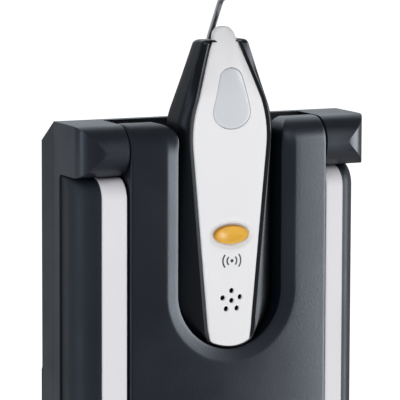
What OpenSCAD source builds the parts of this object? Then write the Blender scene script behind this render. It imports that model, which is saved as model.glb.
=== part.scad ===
/* [Transmitter housing] */
// Height of the transmitter from its base to its flat top
unit_h = 125; // [118:1:140]
// Overall width across the hinge arms
unit_w = 80.4; // [78.4:0.2:84]
// Overall depth from the crown of the front to the rear cover
unit_d = 29.5; // [29.5:0.1:32]
// Width of the dark front shell
shell_w = 55; // [54:0.5:55.6]
// How far the front shell bulges between its two long edges
crown_sag = 2.05; // [1.6:0.05:2.3]
// Plastic wall thickness of the housing
wall = 1.8; // [1.4:0.1:2.0]

/* [Hinge and rear cover] */
// Radius of the hinge barrels and of the rounded top edge
barrel_r = 6.5; // [6.3:0.1:6.8]
// Radius of the two steel hinge pins
pin_r = 2.0; // [1.6:0.1:2.4]
// Radial running clearance of the pins
pin_gap = 0.05; // [0.03:0.01:0.09]
// Gap between parts that move against each other
gap = 0.3; // [0.25:0.05:0.35]
// Depth of the rear cover panel
panel_d = 7.95; // [7.5:0.05:8.2]
// Height of the sloped top of the rear cover panel
panel_slope_h = 5.5; // [4.5:0.1:6]

/* [Receiver channel] */
// Width of the open channel that holds the receiver
channel_w = 29.1; // [28.8:0.1:29.6]
// Depth of the channel's lowest point below the flat top
channel_h = 57.7; // [52:0.1:60]
// Width of the shallow bevel around the channel
bevel_w = 3.4; // [2.4:0.1:3.8]
// Distance from the front crown to the channel floor
channel_d = 16.2; // [16.1:0.05:16.3]

/* [Receiver] */
// Width of the receiver body
pen_w = 26.3; // [26:0.1:26.6]
// Length of the receiver from its round end to the tip
pen_l = 81.3; // [80:0.1:86]
// Thickness of the receiver body
pen_d = 14.8; // [14.6:0.05:14.85]
// Widest point of the pale front cover
cover_w = 20.6; // [19.6:0.1:21]
// Width of the pale front cover at its lower end
cover_end_w = 11.4; // [10.4:0.1:12.4]
// Wall thickness of the receiver
pen_wall = 1.4; // [1.2:0.1:1.5]
// Width of the oval test button
button_w = 10.5; // [9.5:0.1:10.6]
// Height of the oval test button
button_h = 5.4; // [4.8:0.1:5.5]
// Diameter of the bent steel wire
wire_d = 1.5; // [1.2:0.1:1.5]

/* [Hidden] */
$fn = 64;
eps = 0.05;
half_w = unit_w / 2;
front_y = -unit_d / 2;
top_z = unit_h;
crown_r = (shell_w * shell_w / 4 + crown_sag * crown_sag) / (2 * crown_sag);
axis_y = front_y + crown_sag + barrel_r;
axis_z = top_z - barrel_r;
arm_bottom_z = top_z - 2 * barrel_r;
arm_x = shell_w / 2 + gap;
arm_corner_r = 6.6;
lobe_top_z = arm_bottom_z - gap;
lobe_fillet_r = 5.3;
seam_y = front_y + unit_d - panel_d - 3.8;
panel_y = front_y + unit_d - panel_d;
unit_rear_y = panel_y - 0.6;
rim_w = 3.6;
rear_shell_half_w = half_w - rim_w - gap;
base_t = 2.4;
shell_base_z = base_t + 0.1;
rear_shell_top_z = top_z - 4.5;
channel_r = channel_w / 2;
channel_z = top_z - channel_h + channel_r;
mouth_r = 4;
recess_d = 10.4;
rail_t = 2.5;
magnet_t = 0.8;
pen_gap = gap;
pen_z = top_z - channel_h + pen_gap;
pen_r = pen_w / 2;
pen_back_d = 0.75 + pen_d;
ridge_d = 4.85;
shoulder_z = pen_l - 3.3;
button_z = 28.9;
holes_z = 12.0;
lens_low_z = 60;
lens_half_w = 5.25;
lens_low_h = 4.3;
lens_top_z = 67.9;
lens_top_r = 3.3;
cover_wide_z = 52;
band_x = 33.85;
band_in_d = 2.9;
band_out_d = 5.0;
grip_x = 34.9;
grip_r = 10;
grip_cx = half_w - 0.5 - grip_r;
grip_cy = front_y + 14.05;
socket_x = 9.5;
socket_y = -4;
socket_bore_r = 2.0;
socket_l = 20;
board_y = front_y + 14.6;
board_t = 1.6;
board_w = 50.4;
board_h = 54;
board_z = 8;
screw_x = 23;
screw_low_z = 12;
screw_high_z = 104;
hinge_pin_l = 9;
cell_r = 10;
cell_t = 3.2;
cell_z = 40;
pen_board_d = 6.2;
wire_back_d = pen_back_d - 0.8;
wire_foot_z = 67;
bend_bulge = 0.1;
groove_half_w = wire_d / 2 + bend_bulge + 0.1;
receiver_screw_spots = [[0, 8], [-7.5, 60], [7.5, 60]];

// ---------- shared shapes ----------

// a block given by its low corner and its high corner
module block(low, high) {
  translate(low) cube(high - low);
}

// a solid made from a side view (depth, height), running from x0 to x1
module along_x(x0, x1) {
  translate([x0, 0, 0])
    rotate([90, 0, 90])
      linear_extrude(x1 - x0) children();
}

// a solid made from a front view (x, height), running from y0 to y1
module along_y(y0, y1) {
  translate([0, y1, 0])
    rotate([90, 0, 0])
      linear_extrude(y1 - y0) children();
}

module both_sides() {
  children();
  mirror([1, 0, 0]) children();
}

// closes a run of right-hand points with their mirror images on the left
module mirrored_polygon(right) {
  polygon(concat(right, [for (i = [len(right) - 1 : -1 : 0]) [-right[i][0], right[i][1]]]));
}

// front view of the round-bottomed channel, open at the top
module channel_outline(r) {
  translate([0, channel_z]) circle(r, $fn = 96);
  translate([-r, channel_z]) square([2 * r, channel_h]);
}

// front view of the channel's mouth, flared by round corners at the flat top
module mouth_outline() {
  mirrored_polygon(concat(
    [[channel_r - 1, top_z - mouth_r]],
    [for (a = [180 : -10 : 90])
      [channel_r + mouth_r + mouth_r * cos(a), top_z - mouth_r + mouth_r * sin(a)]],
    [[channel_r + mouth_r, top_z + 1]]
  ));
}

// ---------- transmitter ----------

// crowned bar with a rounded top front edge, turned about a distant upright axis
module crowned_body(inset) {
  intersection() {
    translate([0, front_y + crown_r, 0])
      rotate_extrude($fn = 720) difference() {
        translate([crown_r - 26, shell_base_z + inset])
          square([26 - inset, top_z - shell_base_z - 2 * inset]);
        translate([crown_r - barrel_r, axis_z]) difference() {
          square(barrel_r + 1);
          circle(barrel_r - inset, $fn = 96);
        }
      }
    block([-shell_w / 2 + inset, front_y, 0],
          [shell_w / 2 - inset, seam_y - gap, top_z]);
  }
}

module channel_bevel() {
  shallow = 0.25;
  deep = 1.3;
  translate([0, front_y + deep, channel_z])
    rotate([90, 0, 0])
      cylinder(h = deep - shallow, r1 = channel_r, r2 = channel_r + bevel_w, $fn = 96);
  translate([0, front_y + shallow + eps, channel_z])
    rotate([90, 0, 0]) cylinder(h = 2, r = channel_r + bevel_w, $fn = 96);
  translate([0, 0, channel_z]) linear_extrude(channel_h) polygon([
    [-channel_r - bevel_w, front_y - 1],
    [channel_r + bevel_w, front_y - 1],
    [channel_r + bevel_w, front_y + 0.6],
    [channel_r, front_y + 1.6],
    [-channel_r, front_y + 1.6],
    [-channel_r - bevel_w, front_y + 0.6]
  ]);
}

// step across the back of the flat top, where the stand's rail swings
module top_recess(grow) {
  block([-half_w, front_y + recess_d - grow, rear_shell_top_z - grow],
        [half_w, seam_y + 1, top_z + 1]);
}

module front_shell() {
  color([0.17, 0.18, 0.20]) difference() {
    union() {
      difference() {
        crowned_body(0);
        difference() {
          translate([0, wall + 1, 0]) crowned_body(wall);
          along_y(front_y, seam_y) channel_outline(channel_r + wall);
          top_recess(wall);
        }
      }
      // bosses for the hinge pins
      both_sides() intersection() {
        translate([channel_r + wall, axis_y, axis_z]) rotate([0, 90, 0])
          cylinder(h = shell_w / 2 - channel_r - wall, r = pin_r + 2.2);
        crowned_body(0);
      }
    }
    along_y(front_y - 1, front_y + channel_d) channel_outline(channel_r);
    along_y(front_y - 1, front_y + channel_d) mouth_outline();
    channel_bevel();
    top_recess(0);
    both_sides() translate([arm_x - hinge_pin_l / 2, axis_y, axis_z]) rotate([0, 90, 0])
      cylinder(h = hinge_pin_l, r = pin_r + 0.02);
    both_sides() translate([socket_x, socket_y, 0]) cylinder(h = 12, r = 5.3);
    // recesses behind the channel floor for the holding magnets
    for (z = [channel_z, channel_z + 24])
      translate([0, front_y + channel_d + 2, z]) rotate([90, 0, 0])
        cylinder(h = 1.6, r = 4.05);
  }
}

// plan view of the pale side bar, on the right side
module side_bar_plan() {
  x0 = shell_w / 2 + 0.25;
  polygon([
    [x0, front_y + band_in_d], [band_x, front_y + band_out_d],
    [band_x, front_y + 6.8], [grip_x - 0.1, front_y + 6.8],
    [grip_x - 0.1, seam_y - gap], [x0, seam_y - gap]
  ]);
}

// side view of a lobe below the hinge arms
module lobe_side() {
  difference() {
    translate([front_y, 0]) square([seam_y - gap - front_y, lobe_top_z]);
    translate([front_y - 1, lobe_top_z - lobe_fillet_r]) difference() {
      square([lobe_fillet_r + 4.4, lobe_fillet_r + 1]);
      translate([lobe_fillet_r + 4.4, 0]) circle(lobe_fillet_r, $fn = 64);
      translate([lobe_fillet_r + 4.4, 0]) square(20);
    }
  }
}

module mid_frame() {
  color([0.87, 0.87, 0.88]) difference() {
    union() {
      both_sides() intersection() {
        linear_extrude(lobe_top_z) side_bar_plan();
        along_x(0, half_w) lobe_side();
      }
      block([-shell_w / 2 - 1, front_y + 5, 0], [shell_w / 2 + 1, seam_y - gap, base_t]);
    }
    both_sides() translate([socket_x, socket_y, -1]) cylinder(h = 12, r = 5.3);
  }
}

module grip() {
  color([0.24, 0.25, 0.27]) intersection() {
    linear_extrude(lobe_top_z) intersection() {
      union() {
        translate([grip_cx, grip_cy]) circle(grip_r, $fn = 128);
        translate([grip_x, grip_cy]) square([half_w - 0.5 - grip_x, 20]);
      }
      translate([grip_x, front_y]) square([half_w - grip_x, seam_y - gap - front_y]);
    }
    along_x(0, half_w) lobe_side();
  }
}

module grip_right() {
  grip();
}

module grip_left() {
  mirror([1, 0, 0]) grip();
}

module rear_shell() {
  y0 = seam_y - gap + 0.05;
  color([0.16, 0.17, 0.18]) difference() {
    along_x(-rear_shell_half_w, rear_shell_half_w) polygon([
      [y0, 0.2], [unit_rear_y, 0.2],
      [unit_rear_y, rear_shell_top_z - 1.5],
      [unit_rear_y - 1.5, rear_shell_top_z],
      [y0, rear_shell_top_z]
    ]);
    // room for the arms to swing
    both_sides() block([shell_w / 2, 0, lobe_top_z - gap], [half_w, unit_d, top_z]);
    both_sides() for (z = [screw_low_z, screw_high_z])
      translate([screw_x, 0, z]) rotate([-90, 0, 0]) {
        cylinder(h = unit_d, r = 1.3);
        translate([0, 0, unit_rear_y - 1.2]) cylinder(h = 5, r = 2.7);
      }
  }
}

module shell_screws() {
  color([0.6, 0.6, 0.62]) both_sides() for (z = [screw_low_z, screw_high_z])
    translate([screw_x, 0, z]) rotate([-90, 0, 0]) {
      translate([0, 0, seam_y - 5]) cylinder(h = unit_rear_y - 1.1 - seam_y + 5, r = 1.2);
      translate([0, 0, unit_rear_y - 1.15]) cylinder(h = 1.1, r = 2.6);
    }
}

module hinge_pins() {
  color([0.72, 0.73, 0.75]) both_sides()
    translate([arm_x - hinge_pin_l / 2, axis_y, axis_z]) rotate([0, 90, 0])
      cylinder(h = hinge_pin_l, r = pin_r);
}

module main_board() {
  color([0.10, 0.32, 0.20]) difference() {
    block([-board_w / 2, board_y, board_z],
          [board_w / 2, board_y + board_t, board_z + board_h]);
    both_sides() translate([screw_x, board_y - 1, screw_low_z]) rotate([-90, 0, 0])
      cylinder(h = 4, r = 1.5);
    // notches round the lead sockets
    both_sides() block([socket_x - 5.6, board_y - 1, 0],
                       [socket_x + 5.6, board_y + 3, socket_l + 3]);
  }
}

module transformer() {
  color([0.35, 0.33, 0.30]) {
    difference() {
      block([-19, board_y - 8.4, 34], [-1, board_y - 0.1, 50]);
      block([-15.5, board_y - 12, 37.5], [-4.5, board_y + 1, 46.5]);
    }
    block([-15.4, board_y - 8.9, 37.6], [-4.6, board_y - 0.1, 46.4]);
  }
}

module capacitor() {
  color([0.80, 0.62, 0.15])
    block([3, board_y - 8.1, 34], [9, board_y - 0.1, 50]);
}

module fuse() {
  color([0.75, 0.76, 0.77]) translate([17, board_y - 4.2, 29]) cylinder(h = 20, r = 2.5);
}

module fuse_clips() {
  color([0.78, 0.68, 0.35]) for (z = [29.5, 44.5])
    difference() {
      block([13.6, board_y - 6.2, z], [20.4, board_y - 0.1, z + 4]);
      translate([17, board_y - 4.2, z - 1]) cylinder(h = 6, r = 2.55);
      block([15.2, board_y - 7, z - 1], [18.8, board_y - 4.2, z + 5]);
    }
}

module socket_bush() {
  translate([socket_x, socket_y, 0]) difference() {
    union() {
      translate([0, 0, 0.2]) cylinder(h = socket_l + 2, r = 5.2);
      translate([0, 0, shell_base_z + wall + 0.2]) cylinder(h = 1.5, r = 5.75);
    }
    cylinder(h = 1.3, r = 2.4);
    translate([0, 0, 1.2]) cylinder(h = socket_l + 4, r = 3.02);
  }
}

module socket_bush_right() {
  color([0.62, 0.10, 0.10]) socket_bush();
}

module socket_bush_left() {
  color([0.07, 0.07, 0.08]) mirror([1, 0, 0]) socket_bush();
}

module socket_sleeves() {
  color([0.80, 0.72, 0.42]) both_sides() translate([socket_x, socket_y, 1.3]) difference() {
    cylinder(h = socket_l + 3, r = 3);
    translate([0, 0, -1]) cylinder(h = socket_l + 1, r = socket_bore_r);
  }
}

module holding_magnets() {
  color([0.70, 0.71, 0.73]) for (z = [channel_z, channel_z + 24])
    translate([0, front_y + channel_d + 0.42 + magnet_t, z]) rotate([90, 0, 0])
      cylinder(h = magnet_t, r = 4);
}

// ---------- rear cover that folds out as a stand ----------

module hinge_arm() {
  difference() {
    intersection() {
      along_x(arm_x, half_w) union() {
        translate([axis_y, axis_z]) circle(barrel_r, $fn = 96);
        translate([axis_y, arm_bottom_z]) square([panel_y - axis_y, 2 * barrel_r]);
      }
      linear_extrude(top_z) difference() {
        translate([0, front_y]) square([half_w, unit_d]);
        translate([half_w - arm_corner_r, front_y + crown_sag + arm_corner_r])
          difference() {
            translate([0, -20]) square(20);
            circle(arm_corner_r, $fn = 96);
          }
      }
    }
    // bore for the hinge pin
    translate([arm_x - 1, axis_y, axis_z]) rotate([0, 90, 0])
      cylinder(h = hinge_pin_l / 2 + 1 + gap, r = pin_r + pin_gap);
    // room for the transmitter's rear shell and the corner of its front shell
    block([0, seam_y - gap - 0.1, 0], [rear_shell_half_w + gap, panel_y + 1, top_z - 3.5]);
  }
}

module stand_frame() {
  color([0.20, 0.21, 0.23]) {
    both_sides() {
      hinge_arm();
      block([half_w - rim_w, seam_y, 0], [half_w, panel_y - eps, arm_bottom_z + 1]);
    }
    block([-arm_x - 1, panel_y - eps - rail_t, top_z - 3.4], [arm_x + 1, panel_y - eps, top_z]);
  }
}

module rear_cover() {
  rear_y = front_y + unit_d;
  color([0.22, 0.23, 0.25]) difference() {
    along_x(-half_w, half_w) polygon([
      [panel_y, 0], [rear_y, 0], [rear_y, top_z - panel_slope_h], [panel_y, top_z]
    ]);
    block([-half_w + rim_w, panel_y - 1, wall], [half_w - rim_w, rear_y - wall, top_z - 8]);
    both_sides() for (z = [6, 60]) translate([half_w - 1.8, 0, z]) rotate([-90, 0, 0])
      translate([0, 0, rear_y - 1.5]) cylinder(h = 4, r = 1.6);
    // shallow recesses for the pads
    for (z = [4, 108]) block([-15.1, rear_y - 0.9, z - 0.1], [15.1, rear_y + 1, z + 5.1]);
  }
}

module cover_screws() {
  rear_y = front_y + unit_d;
  color([0.6, 0.6, 0.62]) both_sides() for (z = [6, 60])
    translate([half_w - 1.8, rear_y - 0.4, z]) rotate([90, 0, 0])
      cylinder(h = 1.05, r = 1.5);
}

module cover_pads() {
  rear_y = front_y + unit_d;
  color([0.12, 0.12, 0.13]) for (z = [4, 108])
    block([-15, rear_y - 0.85, z], [15, rear_y, z + 5]);
}

// ---------- receiver, drawn with its round end at height 0 ----------

module place_receiver() {
  translate([0, front_y, pen_z]) children();
}

// front view of the body: round end, straight sides, sloped shoulders, flat top
module body_outline(inset) {
  bend_r = 18;
  straight_z = 55;
  lean = 19;
  bend_x = pen_r - bend_r * (1 - cos(lean));
  bend_z = straight_z + bend_r * sin(lean);
  top_x = bend_x - (shoulder_z - bend_z) * tan(lean);
  right = concat(
    [for (a = [-90 : 7.5 : 0]) [(pen_r - inset) * cos(a), pen_r + (pen_r - inset) * sin(a)]],
    [for (a = [0 : lean / 5 : lean])
      [pen_r - bend_r + (bend_r - inset) * cos(a), straight_z + (bend_r - inset) * sin(a)]],
    [[top_x - inset * 1.2, shoulder_z - inset]]
  );
  mirrored_polygon(right);
}

// front view of the pale cover: tapered below, waisted to a round tip above
module cover_outline(grow) {
  tip_r = 2.6;
  tip_z = pen_l - tip_r;
  bend_r = 29;
  low_lean = 5;
  high_lean = 20;
  bend_x = cover_w / 2 - bend_r;
  end_z = pen_r - sqrt((pen_r - 0.1) * (pen_r - 0.1) - cover_end_w * cover_end_w / 4);
  right = concat(
    [[cover_end_w / 8, 0.15 - grow], [cover_end_w / 3.4 + grow / 2, 0.5 - grow]],
    [[cover_end_w / 2 + grow, end_z - grow * 0.8]],
    [for (a = [-low_lean : 3 : high_lean])
      [bend_x + (bend_r + grow) * cos(a), cover_wide_z + 1.5 + (bend_r + grow) * sin(a)]],
    [for (a = [high_lean : 14 : 90])
      [(tip_r + grow) * cos(a) + 0.4, tip_z + (tip_r + grow) * sin(a)]]
  );
  mirrored_polygon(right);
}

// front view of the drop-shaped window: flat ellipse below, small circle above
module drop_outline(grow) {
  lean = 14;
  mirrored_polygon(concat(
    [for (a = [-90 : 6.5 : lean + 0.1])
      [(lens_half_w + grow) * cos(a), lens_low_z + (lens_low_h + grow) * sin(a)]],
    [for (a = [lean : 7.6 : 90.1])
      [(lens_top_r + grow) * cos(a), lens_top_z + (lens_top_r + grow) * sin(a)]]
  ));
}

module oval(w, h) {
  translate([0, button_z])
    mirrored_polygon([for (a = [-90 : 7.5 : 90]) [w / 2 * cos(a), h / 2 * sin(a)]]);
}

// everything behind the domed front face, sunk by the given depth
module behind_dome(sink) {
  dome_r = 48.8;
  tip_bend_r = 40;
  tip_bend_z = 62;
  intersection() {
    translate([0, 0.75 + sink + dome_r, -10]) cylinder(h = 120, r = dome_r, $fn = 360);
    union() {
      block([-20, 0, -10], [20, 30, tip_bend_z]);
      translate([-20, 0.55 + sink + tip_bend_r, tip_bend_z]) rotate([0, 90, 0])
        cylinder(h = 40, r = tip_bend_r, $fn = 240);
    }
  }
}

module slice(d, thick) {
  along_y(d, d + thick) children();
}

module receiver_shell() {
  color([0.10, 0.10, 0.11]) place_receiver() difference() {
    hull() {
      slice(2.6, 0.3) intersection() {
        cover_outline(1.4);
        body_outline(0.4);
      }
      slice(ridge_d, pen_back_d - 4.2 - ridge_d) body_outline(0);
      slice(pen_back_d - 1.4, 0.2) body_outline(1.1);
      slice(pen_back_d - 0.2, 0.2) body_outline(3.6);
    }
    // main cavity and the opening that takes the pale cover
    slice(ridge_d, pen_back_d - ridge_d - pen_wall) body_outline(pen_wall + 0.4);
    slice(0, ridge_d + eps) cover_outline(0.1);
    // battery door seat
    slice(pen_back_d - 1.2, 2) door_outline(0.1);
    slice(pen_back_d - 2, 2) door_outline(-1.2);
    // groove and foot hole of the wire hook
    block([-groove_half_w, wire_back_d - groove_half_w, wire_foot_z - groove_half_w],
          [groove_half_w, pen_back_d + 1, pen_l]);
    for (spot = receiver_screw_spots)
      translate([spot[0], pen_back_d + 1, spot[1]]) rotate([90, 0, 0])
        cylinder(h = 8, r = 1.05);
  }
}

module door_outline(grow) {
  translate([-cell_r - 0.5 - grow, cell_z - 14 - grow])
    square([2 * (cell_r + 0.5 + grow), 28 + 2 * grow]);
}

module receiver_cover() {
  color([0.90, 0.90, 0.91]) place_receiver() difference() {
    intersection() {
      slice(0, ridge_d + 4) cover_outline(0);
      behind_dome(0);
      union() {
        block([-15, 0, 0], [15, ridge_d, pen_l]);
        block([-15, 0, shoulder_z + 0.2], [15, ridge_d + 4, pen_l + 1]);
      }
    }
    // inside of the cover
    intersection() {
      slice(2.4, 6) cover_outline(-1.3);
      along_x(-15, 15) polygon([
        [2, 1], [9, 1], [9, shoulder_z - 1.2], [6.2, shoulder_z - 1.2], [3, 64], [2, 60]
      ]);
    }
    along_y(-1, 9) drop_outline(0.05);
    along_y(-1, 9) oval(button_w + 1.2, button_h + 1.2);
    translate([0, 0, holes_z]) rotate([-90, 0, 0]) {
      translate([0, 0, -1]) cylinder(h = 9, r = 0.62, $fn = 24);
      for (k = [0 : 4]) rotate([0, 0, 90 + 72 * k])
        translate([2.53, 0, -1]) cylinder(h = 9, r = 0.62, $fn = 24);
    }
  }
}

module indicator_lens() {
  color([0.80, 0.81, 0.83]) place_receiver() intersection() {
    slice(0.2, 3.0) drop_outline(0);
    behind_dome(-0.15);
  }
}

module button_ring() {
  color([0.84, 0.84, 0.85]) place_receiver() difference() {
    along_y(1.35, 3.2) oval(button_w + 1.1, button_h + 1.1);
    along_y(0, 5) oval(button_w, button_h);
  }
}

module test_button() {
  color([0.88, 0.70, 0.28]) place_receiver() {
    along_y(0.5, 1.6) oval(button_w - 0.6, button_h - 0.6);
    along_y(1.55, 4.2) oval(button_w - 1.6, button_h - 1.6);
  }
}

module receiver_board() {
  color([0.10, 0.32, 0.20]) place_receiver()
    slice(pen_board_d, 1.0) intersection() {
      body_outline(pen_wall + 0.8);
      translate([-15, 10]) square([30, 60]);
    }
}

module button_switch() {
  color([0.15, 0.15, 0.16]) place_receiver()
    block([-3, pen_board_d - 0.95, button_z - 1.5], [3, pen_board_d - 0.02, button_z + 1.5]);
}

module indicator_leds() {
  color([0.85, 0.86, 0.80]) place_receiver() both_sides()
    translate([2.4, pen_board_d - 0.02, lens_low_z]) rotate([90, 0, 0])
      cylinder(h = 1.8, r = 1.5);
}

module buzzer() {
  color([0.10, 0.10, 0.10]) place_receiver()
    translate([0, ridge_d + 1.0, holes_z + 2.5]) rotate([90, 0, 0]) difference() {
      cylinder(h = 2.2, r = 5.2);
      translate([0, 0, 1.6]) cylinder(h = 2, r = 1);
    }
}

module sensor_coil() {
  color([0.55, 0.28, 0.12]) place_receiver() translate([0, 9.6, 62]) {
    cylinder(h = 13, r = 1.5);
    translate([0, 0, 2]) cylinder(h = 9, r = 2.2);
  }
}

module coin_cell() {
  color([0.76, 0.77, 0.79]) place_receiver()
    translate([0, pen_back_d - 1.6, cell_z]) rotate([90, 0, 0]) cylinder(h = cell_t, r = cell_r - 0.2);
}

module cell_contacts() {
  contact_y = pen_back_d - 1.65 - cell_t;
  color([0.78, 0.72, 0.50]) place_receiver() {
    block([-2, contact_y - 0.4, cell_z - 6], [2, contact_y, cell_z + 6]);
    both_sides() block([cell_r + 0.1, contact_y - 0.4, cell_z - 4],
                       [cell_r + 0.5, contact_y + 2.4, cell_z + 4]);
  }
}

module battery_door() {
  color([0.11, 0.11, 0.12]) place_receiver() difference() {
    slice(pen_back_d - 1.15, 1.15) door_outline(0);
    translate([0, pen_back_d + 1, cell_z + 11.5]) rotate([90, 0, 0]) cylinder(h = 4, r = 1.9);
    for (k = [0 : 3]) block([-5, pen_back_d - 0.4, cell_z - 10 + 2 * k],
                            [5, pen_back_d + 1, cell_z - 9.2 + 2 * k]);
  }
}

module door_screw() {
  color([0.6, 0.6, 0.62]) place_receiver()
    translate([0, pen_back_d - 0.1, cell_z + 11.5]) rotate([90, 0, 0]) difference() {
      cylinder(h = 1.0, r = 1.8);
      translate([-1.2, -0.2, -1]) cube([2.4, 0.4, 1.4]);
    }
}

module keeper_plate() {
  color([0.65, 0.66, 0.68]) place_receiver()
    block([-6, pen_back_d - pen_wall - 1.0, 11], [6, pen_back_d - pen_wall - 0.05, 23]);
}

module receiver_screws() {
  color([0.6, 0.6, 0.62]) place_receiver() for (spot = receiver_screw_spots)
    translate([spot[0], pen_back_d - 0.3, spot[1]]) rotate([90, 0, 0])
      cylinder(h = 4, r = 1);
}

// bent wire: foot, upright part in the groove, slanted part, forward bend and end
module wire_hook() {
  lean = 33.5;
  tip_lean = 72;
  foot = [pen_back_d - 3.2, wire_foot_z];
  corner = [wire_back_d, wire_foot_z];
  neck = [wire_back_d, 77.4];
  top = neck + 12.4 * [-sin(lean), cos(lean)];
  path = [foot, corner, neck, top, top + 5.4 * [-sin(tip_lean), cos(tip_lean)]];
  color([0.80, 0.81, 0.83]) place_receiver() {
    for (k = [0 : len(path) - 2]) {
      step = path[k + 1] - path[k];
      translate([0, path[k][0], path[k][1]])
        rotate([atan2(-step[0], step[1]), 0, 0])
          cylinder(h = norm(step), r = wire_d / 2, $fn = 24);
    }
    for (k = [1 : len(path) - 2])
      translate([0, path[k][0], path[k][1]]) sphere(wire_d / 2 + bend_bulge, $fn = 24);
  }
}

front_shell();
mid_frame();
grip_left();
grip_right();
rear_shell();
shell_screws();
hinge_pins();
main_board();
transformer();
capacitor();
fuse();
fuse_clips();
socket_bush_left();
socket_bush_right();
socket_sleeves();
holding_magnets();
stand_frame();
rear_cover();
cover_screws();
cover_pads();
receiver_shell();
receiver_cover();
indicator_lens();
button_ring();
test_button();
receiver_board();
button_switch();
indicator_leds();
buzzer();
sensor_coil();
coin_cell();
cell_contacts();
battery_door();
door_screw();
keeper_plate();
receiver_screws();
wire_hook();
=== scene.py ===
"""Looks for the circuit breaker finder: meshes, materials, light and camera in the CAD part's own frame."""
import math

import bmesh
import bpy
import numpy as np
from mathutils import Matrix, Vector
from mathutils.geometry import delaunay_2d_cdt


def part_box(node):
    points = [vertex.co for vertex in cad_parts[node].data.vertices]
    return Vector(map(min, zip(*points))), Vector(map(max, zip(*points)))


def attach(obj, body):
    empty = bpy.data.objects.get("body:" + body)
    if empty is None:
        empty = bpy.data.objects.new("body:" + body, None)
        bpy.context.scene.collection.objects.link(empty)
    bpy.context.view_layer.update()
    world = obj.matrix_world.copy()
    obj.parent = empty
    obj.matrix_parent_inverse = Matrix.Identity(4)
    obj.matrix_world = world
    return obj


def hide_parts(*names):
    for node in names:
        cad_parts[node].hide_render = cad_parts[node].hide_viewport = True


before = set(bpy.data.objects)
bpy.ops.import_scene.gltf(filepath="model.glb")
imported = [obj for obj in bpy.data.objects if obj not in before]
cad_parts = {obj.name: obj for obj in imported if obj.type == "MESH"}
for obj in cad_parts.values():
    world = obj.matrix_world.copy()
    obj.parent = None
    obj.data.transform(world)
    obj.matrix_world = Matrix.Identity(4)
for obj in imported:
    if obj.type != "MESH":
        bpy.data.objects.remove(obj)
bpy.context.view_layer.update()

MM = 0.001
PI = math.pi


# ---------- sizes, in millimetres, read from the CAD boxes ----------
def box_mm(node):
    lo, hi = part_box(node)
    return np.array(lo) / MM, np.array(hi) / MM


shell_lo, shell_hi = box_mm("front_shell")
rear_lo, rear_hi = box_mm("rear_cover")
pen_lo, pen_hi = box_mm("receiver_shell")

FRONT = shell_lo[1]
BASE = shell_lo[2]
TOP = shell_hi[2]
SEAM = shell_hi[1]
HALF_SHELL = shell_hi[0]
HALF = box_mm("stand_frame")[1][0]
PANEL = rear_lo[1]
REAR = rear_hi[1]
LOBE_TOP = box_mm("grip_right")[1][2]
# fall of the crowned face towards its sides, and the radius that rolls its top edge back
SAG = 2.05
BARREL = 6.5
CROWN_R = (HALF_SHELL**2 + SAG**2) / (2 * SAG)
GAP = 0.3
# the receiver's channel, with a bevel round it
CHANNEL_R = 14.55
CHANNEL_Z = TOP - 57.7 + CHANNEL_R
CHANNEL_FLOOR = FRONT + 16.2
BEVEL_W = 3.4
BEVEL_D = 1.1
# rolled top of the side bars
LOBE_R = 5.3
# receiver: foot, half width, length, depth behind the front plane, and the black body's top
PEN_Z = pen_lo[2]
PEN_R = pen_hi[0]
PEN_L = box_mm("receiver_cover")[1][2] - PEN_Z
PEN_BACK = pen_hi[1] - FRONT
SHOULDER = pen_hi[2] - PEN_Z
BUTTON_Z, BUTTON_W, BUTTON_H = 28.9, 10.5, 5.4
WIRE_R = 0.75


# ---------- mesh helpers (points in millimetres) ----------
class Build:
    """Collects points and faces of one piece."""

    def __init__(self):
        self.points = []
        self.faces = []

    def add(self, points, faces):
        start = len(self.points)
        self.points += [tuple(float(c) for c in p) for p in points]
        self.faces += [tuple(start + i for i in f) for f in faces]

    def grid(self, rows, wrap=False):
        """A sheet of quads through rows of equally many points."""
        n = len(rows[0])
        faces = []
        for r in range(len(rows) - 1):
            for c in range(n if wrap else n - 1):
                d = (c + 1) % n
                faces.append((r * n + c, r * n + d, (r + 1) * n + d, (r + 1) * n + c))
        self.add([p for row in rows for p in row], faces)

    def cap(self, loop):
        self.add(loop, [tuple(range(len(loop)))])

    def mirror(self):
        """Adds the mirror image across the plane x = 0."""
        n = len(self.points)
        self.points += [(-x, y, z) for x, y, z in self.points]
        self.faces += [tuple(n + i for i in reversed(f)) for f in self.faces]


def shade(mesh, sharp=32):
    """Smooth shading, with the edges above an angle in degrees kept sharp."""
    mesh.polygons.foreach_set("use_smooth", [True] * len(mesh.polygons))
    mesh.set_sharp_from_angle(angle=math.radians(sharp))


def finish_mesh(name, build, material, merge=0.004, sharp=32):
    """Welds, cleans and shades the collected faces as a new object."""
    mesh = bpy.data.meshes.new(name)
    mesh.from_pydata([(x * MM, y * MM, z * MM) for x, y, z in build.points], [], build.faces)
    bm = bmesh.new()
    bm.from_mesh(mesh)
    bmesh.ops.remove_doubles(bm, verts=bm.verts, dist=merge * MM)
    bmesh.ops.dissolve_degenerate(bm, dist=merge * MM * 0.5, edges=bm.edges)
    loose = [v for v in bm.verts if not v.link_faces]
    bmesh.ops.delete(bm, geom=loose, context="VERTS")
    bmesh.ops.recalc_face_normals(bm, faces=bm.faces)
    bm.to_mesh(mesh)
    bm.free()
    shade(mesh, sharp)
    mesh.materials.append(material)
    obj = bpy.data.objects.new(name, mesh)
    bpy.context.scene.collection.objects.link(obj)
    return obj


def place(obj, body, slot, *nodes):
    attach(obj, body)
    if nodes:
        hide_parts(*nodes)
    return obj


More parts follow.
